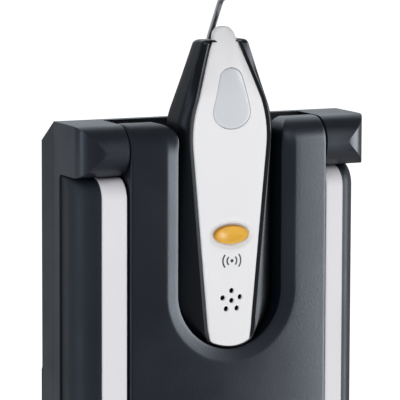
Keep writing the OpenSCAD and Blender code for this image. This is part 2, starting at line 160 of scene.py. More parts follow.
def soften(obj, width, segments=3, angle=32):
    """Rounds the edges of a piece."""
    bevel = obj.modifiers.new("edges", "BEVEL")
    bevel.width = width * MM
    bevel.segments = segments
    bevel.limit_method = "ANGLE"
    bevel.angle_limit = math.radians(angle)
    bevel.use_clamp_overlap = True
    even = obj.modifiers.new("shading", "WEIGHTED_NORMAL")
    even.keep_sharp = True
    return obj


def combine(target, other, how):
    """Joins or cuts one solid with another and keeps the result in the first."""
    mod = target.modifiers.new("combine", "BOOLEAN")
    mod.operation = how
    mod.solver = "EXACT"
    mod.object = other
    depsgraph = bpy.context.evaluated_depsgraph_get()
    mesh = bpy.data.meshes.new_from_object(target.evaluated_get(depsgraph))
    target.modifiers.clear()
    target.data = mesh
    bpy.data.objects.remove(other, do_unlink=True)


def solid(name, first, last, material):
    """A closed solid between two equal loops."""
    b = Build()
    b.cap(first)
    b.cap(last)
    b.grid([first, last], wrap=True)
    return finish_mesh(name, b, material)


def prism(name, side, x0, x1, material):
    """A solid with the given outline in depth and height, between two x positions."""
    return solid(name, [(x0, y, z) for y, z in side], [(x1, y, z) for y, z in side], material)


def column(name, plan, z0, z1, material):
    """A solid with the given outline in x and depth, between two heights."""
    return solid(name, [(x, y, z0) for x, y in plan], [(x, y, z1) for x, y in plan], material)


def plug(name, face, y0, y1, material):
    """A solid with the given outline in x and height, between two depths."""
    return solid(name, [(x, y0, z) for x, z in face], [(x, y1, z) for x, z in face], material)


def turned(cx, cy, r, angles):
    """Points round a centre at the given angles, in radians."""
    return [(cx + r * math.cos(t), cy + r * math.sin(t)) for t in angles]


def arc(cx, cy, r, a0, a1, n):
    """Points along an arc, angles in degrees."""
    return turned(cx, cy, r, np.radians(np.linspace(a0, a1, n)))


def between(a, b, share):
    """The point a share of the way from one point to another."""
    return tuple(np.array(a) + (np.array(b) - np.array(a)) * share)


def rectangle(u0, v0, u1, v1):
    return [(u0, v0), (u1, v0), (u1, v1), (u0, v1)]


def resample(points, step):
    """The same open run of points with no step longer than the given one."""
    out = [points[0]]
    for a, b in zip(points, points[1:]):
        n = max(1, int(math.ceil(math.dist(a, b) / step)))
        out += [between(a, b, k / n) for k in range(1, n + 1)]
    return out


def inside(points, loop):
    """Which of the points lie inside a closed loop."""
    x, y = points[:, 0], points[:, 1]
    hit = np.zeros(len(points), bool)
    px, py = loop[-1]
    for qx, qy in loop:
        cross = (qy > y) != (py > y)
        with np.errstate(divide="ignore", invalid="ignore"):
            hit ^= cross & (x < (px - qx) * (y - qy) / (py - qy) + qx)
        px, py = qx, qy
    return hit


def skin(build, outer, holes, guides, step, lift):
    """Triangulates a flat outline with holes and guide lines, then lifts its points into space."""
    points, edges = [], []
    for loop, closed in [(outer, True)] + [(h, True) for h in holes] + [(g, False) for g in guides]:
        start = len(points)
        points += [tuple(p) for p in loop]
        n = len(loop)
        edges += [(start + i, start + (i + 1) % n) for i in range(n if closed else n - 1)]
    fixed = np.array(points)
    lo, hi = fixed.min(0), fixed.max(0)
    gx, gy = np.meshgrid(np.arange(lo[0], hi[0], step), np.arange(lo[1], hi[1], step))
    grid = np.stack([gx.ravel(), gy.ravel()], 1)
    grid = grid[inside(grid, outer)]
    for h in holes:
        grid = grid[~inside(grid, h)]
    far = np.ones(len(grid), bool)
    for p in fixed:
        far &= ((grid - p) ** 2).sum(1) > (0.55 * step) ** 2
    grid = grid[far]
    cloud = [Vector((float(a), float(b))) for a, b in np.vstack([fixed, grid])]
    verts, _, faces, _, _, _ = delaunay_2d_cdt(cloud, edges, [], 0, 1e-5)
    flat = np.array([(v.x, v.y) for v in verts])
    middle = np.array([flat[list(f)].mean(0) for f in faces])
    keep = inside(middle, outer)
    for h in holes:
        keep &= ~inside(middle, h)
    build.add([lift(u, v) for u, v in flat], [f for f, k in zip(faces, keep) if k])


def edge_strip(build, boundary, lift, radius, segments=4, tail=()):
    """Rolls a skin's edge over.

    Each entry of boundary holds u, v, the outward direction there and, where it differs from 1, the share of
    the roll's depth. Each function in tail adds a row, from an index and the point where the roll ends.
    """
    boundary = [entry if len(entry) == 5 else (*entry, 1.0) for entry in boundary]
    rows = []
    for t in np.linspace(0, PI / 2, segments + 1):
        out, down = radius * math.sin(t), radius * (1 - math.cos(t))
        rows.append([lift(u + du * out, v + dv * out, down * share) for u, v, du, dv, share in boundary])
    for extra in tail:
        rows.append([extra(i, rows[segments][i]) for i in range(len(boundary))])
    build.grid(rows)
    return rows


# ---------- materials ----------
def srgb(r, g, b):
    def linear(c):
        c /= 255.0
        return c / 12.92 if c <= 0.04045 else ((c + 0.055) / 1.055) ** 2.4

    return (linear(r), linear(g), linear(b), 1.0)


def node_material(name):
    mat = bpy.data.materials.new(name)
    mat.use_nodes = True
    tree = mat.node_tree
    shader = tree.nodes["Principled BSDF"]
    coord = tree.nodes.new("ShaderNodeTexCoord")
    return mat, tree, shader, coord.outputs["Object"]


def noise(tree, coord, scale, detail=2.0, rough=0.5):
    node = tree.nodes.new("ShaderNodeTexNoise")
    node.inputs["Scale"].default_value = scale
    node.inputs["Detail"].default_value = detail
    node.inputs["Roughness"].default_value = rough
    tree.links.new(coord, node.inputs["Vector"])
    return node.outputs["Fac"]


def ramp(tree, value, stops):
    node = tree.nodes.new("ShaderNodeValToRGB")
    while len(node.color_ramp.elements) < len(stops):
        node.color_ramp.elements.new(0.5)
    for element, (pos, colour) in zip(node.color_ramp.elements, stops):
        element.position = pos
        element.color = colour
    tree.links.new(value, node.inputs["Fac"])
    return node.outputs["Color"]


def mix(tree, factor, a, b):
    node = tree.nodes.new("ShaderNodeMix")
    node.data_type = "RGBA"
    tree.links.new(factor, node.inputs["Factor"])
    for value, socket in ((a, node.inputs["A"]), (b, node.inputs["B"])):
        if isinstance(value, tuple):
            socket.default_value = value
        else:
            tree.links.new(value, socket)
    return node.outputs["Result"]


def grey(v):
    return (v, v, v, 1.0)


def tint(colour, factor):
    return tuple(min(1.0, c * factor) for c in colour[:3]) + (1.0,)


DARK_LIMIT = 0.03
SHEEN = (0.80, 0.89, 1.0, 1.0)


def surface(name, colour, rough, grain=1600.0, bump=0.08, grain_depth=0.05, wear=0.35, spread=0.10,
            rough_spread=0.06, specular=0.5, metallic=0.0, coat=0.0, brushed=0.0):
    """Moulded or machined surface: fine grain, slow colour drift, roughness patches and paler worn edges."""
    mat, tree, shader, coord = node_material(name)
    links = tree.links
    drift = noise(tree, coord, 28.0, 3.0)
    tone = ramp(tree, drift, [(0.3, tint(colour, 1 - spread)), (0.7, tint(colour, 1 + spread))])
    fine = noise(tree, coord, grain, 3.0, 0.6)
    speckle = ramp(tree, fine, [(0.35, grey(0.0)), (0.7, grey(0.35))])
    tone = mix(tree, speckle, tone, tint(colour, 1 + spread * 2))
    geometry = tree.nodes.new("ShaderNodeNewGeometry")
    edges = ramp(tree, geometry.outputs["Pointiness"], [(0.52, grey(0.0)), (0.58, grey(wear))])
    pale = tint(colour, 1.5) if colour[1] > 0.2 else tuple(c + 0.035 for c in colour[:3]) + (1.0,)
    tone = mix(tree, edges, tone, pale)
    links.new(tone, shader.inputs["Base Color"])
    least, most = max(0.02, rough - rough_spread), min(1.0, rough + rough_spread)
    shine = ramp(tree, noise(tree, coord, 60.0), [(0.3, grey(least)), (0.7, grey(most))])
    links.new(shine, shader.inputs["Roughness"])
    height = fine
    if brushed:
        stretch = tree.nodes.new("ShaderNodeMapping")
        stretch.inputs["Scale"].default_value = (1.0, 1.0, brushed)
        links.new(coord, stretch.inputs["Vector"])
        height = noise(tree, stretch.outputs["Vector"], grain, 2.0)
    relief = tree.nodes.new("ShaderNodeBump")
    relief.inputs["Strength"].default_value = bump
    relief.inputs["Distance"].default_value = grain_depth * MM
    links.new(height, relief.inputs["Height"])
    links.new(relief.outputs["Normal"], shader.inputs["Normal"])
    shader.inputs["Metallic"].default_value = metallic
    if colour[1] < DARK_LIMIT:
        shader.inputs["Specular Tint"].default_value = SHEEN
    shader.inputs["Specular IOR Level"].default_value = specular
    shader.inputs["Coat Weight"].default_value = coat
    return mat, shader


def material(*args, **options):
    return surface(*args, **options)[0]


DARK = material("dark_grained_plastic", srgb(15, 18, 26), 0.36, 1400, 0.45, specular=0.62)
COVER = material("cover_grained_plastic", srgb(24, 29, 37), 0.45, 1500, 0.22, specular=0.45)
BLACK = material("receiver_black_plastic", srgb(10, 12, 15), 0.34, 2200, 0.10, specular=0.38)
RUBBER = material("grip_rubber", srgb(30, 35, 42), 0.46, 1100, 0.3, wear=0.15, specular=0.32)
PAD = material("pad_rubber", srgb(24, 24, 26), 0.8, 1100, 0.4, wear=0.1, specular=0.3)
PALE = material("band_plastic", srgb(222, 221, 226), 0.42, 2000, 0.06, spread=0.012, wear=0.05, specular=0.12)
WHITE = material("receiver_white_plastic", srgb(232, 232, 234), 0.42, 2400, 0.04, spread=0.01, wear=0.04,
                 specular=0.16)
RING = material("ring_plastic", srgb(214, 213, 212), 0.35, 2400, 0.04, spread=0.012, wear=0.04)
# near-black material for the disc behind the sound holes: painted shade inside them
HOLE_SHADE = material("black_felt", srgb(6, 6, 7), 0.9, 900, 0.5, spread=0.1, wear=0.0, specular=0.1)
INK = material("printed_mark", srgb(52, 54, 60), 0.6, 3000, 0.05, spread=0.04, wear=0.0)
STEEL = material("zinc_screw", srgb(150, 152, 156), 0.34, 2600, 0.1, metallic=1.0, spread=0.06)
PIN = material("ground_pin", srgb(178, 180, 184), 0.25, 2600, 0.08, metallic=1.0, brushed=0.05)
CHROME = material("polished_wire", srgb(226, 228, 232), 0.34, 2600, 0.1, metallic=1.0, spread=0.05,
                  brushed=0.03)
NICKEL = material("nickel_plate", srgb(190, 190, 190), 0.22, 2600, 0.06, metallic=1.0, spread=0.05)
BRASS = material("contact_brass", srgb(196, 168, 98), 0.3, 2400, 0.08, metallic=1.0, spread=0.07)
COPPER = material("coil_copper", srgb(150, 82, 44), 0.4, 2400, 0.1, metallic=0.8, spread=0.1, brushed=30.0)
BOARD = material("circuit_board", srgb(18, 74, 48), 0.45, 1800, 0.1, spread=0.15)
CORE = material("ferrite_core", srgb(64, 62, 60), 0.7, 1500, 0.3, spread=0.12)
FILM = material("capacitor_case", srgb(196, 158, 48), 0.4, 1800, 0.08, spread=0.08)
GLASS = material("fuse_body", srgb(205, 208, 210), 0.15, 2400, 0.04, spread=0.05, metallic=0.4)
SOCKET_BLACK = material("socket_black", srgb(18, 18, 20), 0.3, 2200, 0.08)
SOCKET_RED = material("socket_red", srgb(150, 24, 22), 0.3, 2200, 0.08, spread=0.08)
LED = material("clear_lamp", srgb(224, 226, 214), 0.12, 2400, 0.02, spread=0.03, wear=0.0)
LENS, lens_shader = surface("milky_lens", srgb(206, 209, 214), 0.36, 2600, 0.02, spread=0.012, wear=0.0,
                            specular=0.3)
lens_shader.inputs["Coat Weight"].default_value = 0.2


def amber():
    """Amber plastic that lets some light in, with painted shade darkening it towards the button's rim."""
    mat, shader = surface("amber_button", srgb(228, 174, 60), 0.26, 2400, 0.02, spread=0.12, wear=0.0)
    tree = mat.node_tree
    # spherical gradient round the button, its centre set a little low; it masks the painted shade at the rim
    centred = tree.nodes.new("ShaderNodeMapping")
    centred.vector_type = "TEXTURE"
    centred.inputs["Location"].default_value = (0.0, 0.0, (PEN_Z + BUTTON_Z - 0.2) * MM)
    centred.inputs["Scale"].default_value = ((BUTTON_W / 2 - 0.05) * MM, 1.0, (BUTTON_H / 2 - 0.05) * MM)
    rim_shade_gradient = tree.nodes.new("ShaderNodeTexGradient")
    rim_shade_gradient.gradient_type = "SPHERICAL"
    tree.links.new(tree.nodes["Texture Coordinate"].outputs["Object"], centred.inputs["Vector"])
    tree.links.new(centred.outputs["Vector"], rim_shade_gradient.inputs["Vector"])
    base = shader.inputs["Base Color"].links[0].from_socket
    # rim colour srgb(176, 118, 24) is painted shade round the button's edge, blended in over the outer fifth
    # of its radius
    unshaded_share = ramp(tree, rim_shade_gradient.outputs["Fac"], [(0.03, grey(0.0)), (0.22, grey(1.0))])
    tree.links.new(mix(tree, unshaded_share, srgb(176, 118, 24), base), shader.inputs["Base Color"])
    shader.inputs["Subsurface Weight"].default_value = 0.12
    shader.inputs["Subsurface Radius"].default_value = (0.003, 0.0018, 0.0006)
    return mat


AMBER = amber()


# ---------- transmitter: front shell with its channel ----------
# S_ lengths are measured up the face and on over its rolled top; the deck is the recess floor's height
ARC_Z = TOP - BARREL
S_ARC = ARC_Z - BASE
S_FLAT = S_ARC + BARREL * PI / 2
RECESS = FRONT + 10.4
DECK = TOP - 4.5
S_DECK = S_ARC + BARREL * math.asin((DECK - ARC_Z) / BARREL)
S_END = S_FLAT + (RECESS - FRONT - BARREL)
MOUTH_R = 4.0


def channel_offset(x, s):
    """Distance outside the channel's inner edge, on the unrolled face."""
    z = BASE + s
    if z >= CHANNEL_Z:
        return abs(x) - CHANNEL_R
    return math.hypot(x, z - CHANNEL_Z) - CHANNEL_R


def bevel_depth(offset):
    """Depth of the channel's bevel, blended softly into the face at its outer side."""
    blend = 0.4
    t = 1 - offset / BEVEL_W
    if offset > BEVEL_W + blend:
        return 0.0
    if offset > BEVEL_W - blend:
        return BEVEL_D * (BEVEL_W + blend - offset) ** 2 / (4 * blend * BEVEL_W)
    return BEVEL_D * t


def bevel_fade(s):
    """The bevel runs out where the top edge starts to roll back."""
    t = min(1.0, max(0.0, (S_ARC + 4.2 - s) / 5.5))
    return t * t * (3 - 2 * t)


def shell_lift(x, s, depth=0.0):
    """From the unrolled front face (x, distance up and over the top) to space."""
    depth = depth + bevel_depth(channel_offset(x, s)) * bevel_fade(s)
    sag = CROWN_R - math.sqrt(CROWN_R**2 - x**2)
    a = math.asin(x / CROWN_R)
    if s <= S_ARC:
        p = (x, FRONT + sag, BASE + s)
        n = (math.sin(a), -math.cos(a), 0)
    elif s <= S_FLAT:
        f = (s - S_ARC) / BARREL
        p = (x, FRONT + sag + BARREL * (1 - math.cos(f)), ARC_Z + BARREL * math.sin(f))
        n = (math.sin(a) * math.cos(f), -math.cos(a) * math.cos(f), math.sin(f))
    else:
        t = (s - S_FLAT) / (S_END - S_FLAT)
        p = (x, FRONT + (sag + BARREL) * (1 - t) + (RECESS - FRONT) * t, TOP)
        n = (0, 0, 1)
    return tuple(p[i] - depth * n[i] for i in range(3))


def make_front_shell():
    """The crowned face with its rolled edges, the channel with its bevel and lip, and the recess behind."""
    b = Build()
    edge, low, lip = 0.6, 1.4, 0.35
    w = HALF_SHELL - edge
    s0, s1 = low, S_END - 0.3
    c = CHANNEL_Z - BASE

    def u_line(offset, n=48):
        r = CHANNEL_R + offset
        down = resample([(-r, S_ARC + 4.2), (-r, S_ARC), (-r, c)], 1.2)
        return down + arc(0, c, r, 180, 360, n)[1:-1] + [(-x, s) for x, s in reversed(down)]

    # true edge of the channel on the left: (x, s, share of the lip, wall ends at the recess)
    r = CHANNEL_R
    edge_run = []
    for a in np.linspace(90, 180, 15):
        x = -(r + MOUTH_R + MOUTH_R * math.cos(math.radians(a)))
        z = TOP - MOUTH_R + MOUTH_R * math.sin(math.radians(a))
        f = math.asin(min(1.0, (z - ARC_Z) / BARREL))
        edge_run.append((x, S_ARC + BARREL * f, max(0.03, (a - 90) / 90), True))
    edge_run += [(-r, S_DECK, 1.0, True), (-r, S_DECK, 1.0, False)]
    edge_run += [(x, s, 1.0, False) for x, s in resample([(-r, S_DECK), (-r, S_ARC), (-r, c)], 1.2)[1:]]
    edge_run += [(x, s, 1.0, False) for x, s in arc(0, c, r, 180, 270, 30)[1:]]
    lip_dirs, wall_back = [], []
    for i, (x, s, share, at_recess) in enumerate(edge_run):
        px, ps = edge_run[max(i - 1, 0)][:2]
        qx, qs = edge_run[min(i + 1, len(edge_run) - 1)][:2]
        n = math.hypot(qx - px, qs - ps)
        dx, ds = -(qs - ps) / n, (qx - px) / n
        if i == len(edge_run) - 1:
            dx, ds = 0.0, 1.0
        lip_dirs.append((x - dx * lip * share, s - ds * lip * share, dx * share, ds * share, share))
        wall_back.append(RECESS if at_recess else CHANNEL_FLOOR)
    lip_dirs += [(-x, s, -dx, ds, share) for x, s, dx, ds, share in reversed(lip_dirs[:-1])]
    wall_back += wall_back[-2::-1]
    inner = [entry[:2] for entry in lip_dirs]
    inner = [p for i, p in enumerate(inner) if i == 0 or math.dist(p, inner[i - 1]) > 1e-6]

    left = resample([(-w, s1), (-w, S_FLAT), (-w, S_DECK), (-w, S_ARC), (-w, s0)], 1.2)
    bottom = resample([(-w, s0), (w, s0)], 1.5)
    right = [(-x, s) for x, s in reversed(left)]
    flat_line = resample([(inner[0][0], s1), inner[0]], 1.2)[:-1]
    top_left = resample([(flat_line[0][0], s1), (-w, s1)], 1.5)[1:-1]
    outer = left + bottom[1:-1] + right + [(-x, s) for x, s in reversed(top_left)]
    outer += [(-x, s) for x, s in flat_line] + inner[::-1] + flat_line[::-1] + top_left
    guides = [u_line(o) for o in (1.2, 2.2, BEVEL_W - 0.4, BEVEL_W - 0.13, BEVEL_W + 0.13, BEVEL_W + 0.4)]
    mouth = CHANNEL_R + lip + MOUTH_R
    guides = [[p for p in g if p[1] < S_ARC + 2.2 or abs(p[0]) > mouth] for g in guides]
    rim = 0.4
    side_guide = resample([(w - rim, s0 + rim), (w - rim, S_FLAT - rim)], 1.2)
    guides.append([(-x, s) for x, s in reversed(side_guide)] + side_guide)
    skin(b, outer, [], guides, 1.3, shell_lift)

    # outer edge: left side, bottom left corner, bottom, bottom right corner, right side
    side_dirs = [(x, s, -1, 0) for x, s in left[:-1]]
    at = [abs(s - S_DECK) < 1e-6 for _, s, _, _ in side_dirs].index(True)
    side_dirs = side_dirs[:at + 1] + side_dirs[at:]
    side_back = [RECESS] * (at + 1) + [SEAM] * (len(side_dirs) - at - 1)
    corner = [(-w, s0, -math.cos(t), -math.sin(t) * low / edge) for t in np.linspace(0, PI / 2, 6)]
    base_dirs = [(x, s, 0, -low / edge) for x, s in bottom[1:-1]]
    run = side_dirs + corner
    backs = side_back + [SEAM] * len(corner)
    run += base_dirs + [(-x, s, -du, dv) for x, s, du, dv in reversed(side_dirs + corner)]
    backs += [SEAM] * len(base_dirs) + backs[::-1]
    edge_strip(b, run, shell_lift, edge, tail=[lambda i, p: (p[0], backs[i], p[2])])
    # lip and wall of the channel
    wall_front = FRONT + 2.4

    def wall_row(share):
        return lambda i, p: (p[0], max(p[1], wall_front + (wall_back[i] - wall_front) * share), p[2])

    wall = [wall_row(share) for share in (0.0, 0.4, 1.0)]
    rows = edge_strip(b, lip_dirs, shell_lift, lip, tail=wall)
    floor = [p for p, back in zip(rows[-1], wall_back) if back == CHANNEL_FLOOR]
    b.cap(floor)
    # deck behind the flat top, and the step up to it on both sides
    h = HALF_SHELL
    deck = [(-h, RECESS), (-r, RECESS), (-r, CHANNEL_FLOOR), (r, CHANNEL_FLOOR), (r, RECESS), (h, RECESS)]
    deck += [(h, SEAM), (-h, SEAM)]
    b.add([(x, y, DECK) for x, y in deck], [(0, 1, 2, 7), (2, 3, 6, 7), (3, 4, 5, 6)])
    b.add([(-h, SEAM, BASE), (h, SEAM, BASE), (h, SEAM, DECK), (-h, SEAM, DECK)], [(0, 1, 2, 3)])
    mouth_arc = [(p[0], RECESS, p[2]) for p, back in zip(rows[-1], wall_back) if back == RECESS and p[0] < 0]
    back_edge = [shell_lift(x, s1) for x, s in [left[0]] + top_left[::-1] + [flat_line[0]]]
    dropped = [(x, RECESS, z - 0.3) for x, y, z in back_edge]
    step = [(-h, RECESS, DECK), (-h, RECESS, TOP - edge)] + dropped + mouth_arc[1:]
    for sign in (1, -1):
        b.grid([[(x * sign, y, z) for x, y, z in back_edge], [(x * sign, y, z) for x, y, z in dropped]])
        b.cap([(x * sign, y, z) for x, y, z in step])
    return place(finish_mesh("front_shell_moulding", b, DARK), "transmitter", "dark_plastic", "front_shell")


make_front_shell()


# ---------- transmitter: pale side bands and rubber grips ----------
def lobe_rows(plan, z0, foot=0.5):
    """Rows of a side bar: straight up, then rolled back over the top."""
    rows = []
    for z in (z0, z0 + foot * 0.3, z0 + foot):
        back = foot - math.sqrt(max(0, foot**2 - (foot - (z - z0)) ** 2))
        rows.append((z, back))
    for z in np.arange(z0 + 6, LOBE_TOP - LOBE_R, 6):
        rows.append((z, 0.0))
    for t in np.linspace(0, PI / 2, 12):
        rows.append((LOBE_TOP - LOBE_R + LOBE_R * math.sin(t), LOBE_R * (1 - math.cos(t))))
    out = []
    for z, back in rows:
        out.append([(x, min(SEAM, y + back), z) for x, y in plan])
    return out


def lobe(build, plan, z0=0.0):
    """A closed side bar with the given plan outline."""
    rows = lobe_rows(plan, z0)
    build.grid(rows)
    build.cap(rows[0])
    build.cap(rows[-1])
    build.grid([[r[0] for r in rows], [r[-1] for r in rows]])


# plan of the pale band's face and of the round rubber grip beside it
BAND = [(HALF_SHELL + 0.45, FRONT + 2.95), (33.85, FRONT + 5.0)]
GRIP_X = 34.9
GRIP_R = 10.0
GRIP_C = (HALF - 0.5 - GRIP_R, FRONT + 14.05)


def round_corner(a, corner, c, r, n=5):
    """Replaces a corner of a plan outline with a small arc-like curve."""
    a, corner, c = np.array(a), np.array(corner), np.array(c)
    u = (a - corner) / np.linalg.norm(a - corner)
    v = (c - corner) / np.linalg.norm(c - corner)
    p0, p2 = corner + u * r, corner + v * r
    return [tuple((1 - t) ** 2 * p0 + 2 * t * (1 - t) * corner + t * t * p2) for t in np.linspace(0, 1, n)]


def make_mid_frame():
    b = Build()
    (x0, y0), (x1, y1) = BAND
    groove = (x1, FRONT + 7.0)
    plan = [(x0, SEAM), (x0, y0 + 3)]
    plan += round_corner((x0, y0 + 3), (x0, y0), (x1, y1), 0.5)
    plan += resample([plan[-1], (x1 - 0.6, y1 - 0.25)], 1.0)[1:]
    plan += round_corner((x1 - 0.6, y1 - 0.25), (x1, y1), groove, 0.5)
    plan += [groove, (GRIP_X - 0.05, FRONT + 7.0), (GRIP_X - 0.05, SEAM)]
    lobe(b, plan)
    b.mirror()
    # base plate with two round openings for the lead sockets
    plate_t, half, front = 2.4, HALF_SHELL + 0.45, FRONT + 5.0
    lo, hi = box_mm("socket_bush_right")
    cx, cy = (lo[0] + hi[0]) / 2, (lo[1] + hi[1]) / 2
    outline = rectangle(-half, front, half, SEAM)
    outline = resample(outline + outline[:1], 3.0)[:-1]
    holes = [arc(sx * cx, cy, 5.3, 0, 360, 41)[:-1] for sx in (-1, 1)]
    for z in (0.0, plate_t):
        skin(b, outline, holes, [], 3.0, lambda u, v, z=z: (u, v, z))
    for loop in [outline] + holes:
        b.grid([[(x, y, 0.0) for x, y in loop], [(x, y, plate_t) for x, y in loop]], wrap=True)
    return place(finish_mesh("mid_frame_moulding", b, PALE), "transmitter", "pale_plastic", "mid_frame")


def make_grip(side):
    b = Build()
    cx, cy = GRIP_C
    a0 = math.degrees(math.acos((GRIP_X - cx) / GRIP_R))
    curve = arc(cx, cy, GRIP_R, -a0, 0, 26)
    slot = BAND[1][0] + 0.08
    deep = FRONT + 6.95
    plan = [(GRIP_X, SEAM), (GRIP_X, deep), (slot, deep), (slot, FRONT + 5.5), (GRIP_X - 0.2, FRONT + 5.62)]
    plan += round_corner(plan[-1], (GRIP_X, FRONT + 5.66), curve[2], 0.2)
    plan += curve[2:] + resample([curve[-1], (HALF - 0.5, SEAM)], 1.2)[1:]
    lobe(b, plan)
    if side < 0:
        b.points = [(-x, y, z) for x, y, z in b.points]
    node = "grip_right" if side > 0 else "grip_left"
    return place(finish_mesh(node + "_moulding", b, RUBBER), "transmitter", "grip_rubber", node)


make_mid_frame()
for side in (1, -1):
    make_grip(side)


# ---------- folding stand: arms, rims and rail ----------
def make_stand_frame():
    """Hinge arms with round fronts, the rims below them and the rail between them."""
    ay, az = FRONT + SAG + BARREL, TOP - BARREL
    low, back = TOP - 2 * BARREL, PANEL - 0.05
    rim, inner_r, front_r = 3.6, 1.2, 6.6
    x_in, x_rim = HALF_SHELL + GAP, HALF - rim
    # one side: arm with its round front, running into the rim down the side
    arm_side = [(back, low), (ay, low)] + arc(ay, az, BARREL, 270, 90, 61)[1:-1] + [(ay, TOP), (back, TOP)]
    rim_side = [(SEAM + GAP, 0.0), (SEAM + GAP, low - inner_r)]
    rim_side += arc(SEAM + GAP - inner_r, low - inner_r, inner_r, 0, 90, 21)[1:]
    rim_side += arm_side[1:-1] + [(back, TOP), (back, 0.0)]
    arm = prism("arm", arm_side, x_in, HALF - 2.0, DARK)
    combine(arm, prism("rim", rim_side, x_rim, HALF, DARK), "UNION")
    plan = [(x_in - 1, FRONT + SAG - 0.5), (HALF - front_r - 0.01, FRONT + SAG - 0.5)]
    plan += arc(HALF - front_r, FRONT + SAG + front_r, front_r, -90, 0, 37) + [(HALF, REAR), (x_in - 1, REAR)]
    combine(arm, column("arm_plan", plan, -1, TOP + 1, DARK), "INTERSECT")
    # room behind the arm for the transmitter's back
    combine(arm, prism("room", rectangle(SEAM, -1, PANEL + 1, TOP - 3.5), 0, x_rim, DARK), "DIFFERENCE")
    b = Build()
    b.add([tuple(v.co / MM) for v in arm.data.vertices], [tuple(p.vertices) for p in arm.data.polygons])
    b.mirror()
    bpy.data.objects.remove(arm, do_unlink=True)
    obj = finish_mesh("stand_arms_moulding", b, DARK)
    rail = prism("rail", rectangle(back - 2.5, TOP - 3.4, back, TOP), -x_in - 1, x_in + 1, DARK)
    combine(obj, rail, "UNION")
    # the low facets of the arms keep crisp creases
    shade(obj.data, 5.2)
    soften(obj, 0.4, 3, 72)
    obj.modifiers["edges"].harden_normals = True
    obj.modifiers.remove(obj.modifiers["shading"])
    return place(obj, "stand", "dark_plastic", "stand_frame")


def make_rear_cover():
    """The rear panel with its sloped top, hollow front side, pad seats and screw bores."""
    slope, wall, rim = 5.5, 1.8, 3.6
    side = [(PANEL, 0), (REAR, 0), (REAR, TOP - slope), (PANEL, TOP)]
    obj = prism("rear_cover_moulding", side, -HALF, HALF, COVER)
    hollow = prism("hollow", rectangle(PANEL - 1, wall, REAR - wall, TOP - 8), -HALF + rim, HALF - rim, COVER)
    combine(obj, hollow, "DIFFERENCE")
    for z in (4.0, 108.0):
        seat = prism("seat", rectangle(REAR - 0.9, z - 0.1, REAR + 1, z + 5.1), -15.1, 15.1, COVER)
        combine(obj, seat, "DIFFERENCE")
    for z in (6.0, 60.0):
        for x in (1.8 - HALF, HALF - 1.8):
            bore = plug("bore", arc(x, z, 1.6, 0, 360, 25)[:-1], REAR - 1.5, REAR + 1, COVER)
            combine(obj, bore, "DIFFERENCE")
    shade(obj.data)
    soften(obj, 0.5)
    return place(obj, "stand", "cover_plastic", "rear_cover")


make_stand_frame()
make_rear_cover()


# ---------- receiver outlines: x and height above the round end ----------
def body_outline(inset=0.0, corner=1.2):
    """Half outline of the black body, from its round end up to the shoulder."""
    bend_r, z_bend, lean = 18.0, 55.0, math.radians(19)
    bx = PEN_R - bend_r * (1 - math.cos(lean))
    bz = z_bend + bend_r * math.sin(lean)
    tx = bx - (SHOULDER - bz) * math.tan(lean)
    r = PEN_R - inset
    pts = turned(0, PEN_R, r, np.linspace(-PI / 2, 0, 19))
    pts += [(r, z) for z in np.linspace(PEN_R, z_bend, 16)[1:]]
    pts += turned(PEN_R - bend_r, z_bend, bend_r - inset, np.linspace(0, lean, 9)[1:])
    top = (tx - inset * 1.05, SHOULDER - inset)
    half_way = between(pts[-1], top, 0.5)
    pts += [half_way] + round_corner(half_way, top, (0, top[1]), max(corner - inset * 0.5, 0.3), 7)
    pts += [(pts[-1][0] * f, top[1]) for f in (0.66, 0.33, 0.0)]
    return pts


# pale cover: greatest width, width of its low end and the height where it is widest
COVER_W, COVER_END, COVER_WIDE = 20.6, 11.4, 53.5


def cover_outline(grow=0.0, clip=None):
    """Half outline of the pale cover, same count of points as body_outline when clipped."""
    bend_r = 29.0
    end = (COVER_END / 2 + grow, 1.2 - grow * 0.8)
    low, high, end_turn = math.radians(5), math.radians(20), 0.45
    z_end = 0.05 - grow
    bottom = [
        (end[0] * math.sin(t) / math.sin(end_turn),
         z_end + (1 - math.cos(t)) / (1 - math.cos(end_turn)) * (end[1] - z_end))
        for t in np.linspace(0, end_turn, 19)
    ]
    bend = turned(COVER_W / 2 - bend_r, COVER_WIDE, bend_r + grow, np.linspace(-low, high, 9))
    side = [between(bottom[-1], bend[0], t) for t in np.linspace(0, 1, 16)[1:]]
    bend = bend[1:]
    tip_r = 2.6
    tip = turned(0.4, PEN_L - tip_r, tip_r + grow, np.linspace(high, PI / 2, 10))
    limit = PEN_R - 0.55 + 0.45 * min(grow, 1.0)

    def keep_inside(p):
        """Draws a point of the round end in, to stay inside the black rim."""
        r = math.hypot(p[0], p[1] - PEN_R)
        if p[1] > PEN_R or r <= limit:
            return p
        return (p[0] * limit / r, PEN_R + (p[1] - PEN_R) * limit / r)

    run = [keep_inside(p) for p in bottom + side] + bend
    if clip is None:
        return run + [between(bend[-1], tip[0], t) for t in (0.33, 0.66)] + tip + [(0, tip[-1][1])]
    share = min(1.0, (clip - bend[-1][1]) / (tip[0][1] - bend[-1][1]))
    corner = (bend[-1][0] + (tip[0][0] - bend[-1][0]) * share, clip)
    half_way = between(bend[-1], corner, 0.5)
    run += [half_way] + round_corner(half_way, corner, (0, clip), 0.6, 7)
    return run + [(run[-1][0] * f, clip) for f in (0.66, 0.33, 0.0)]


COVER_SIDE = cover_outline()[20:]
EDGE_X = [max(2.2, x) for x, z in COVER_SIDE]
EDGE_Z = [z for x, z in COVER_SIDE]


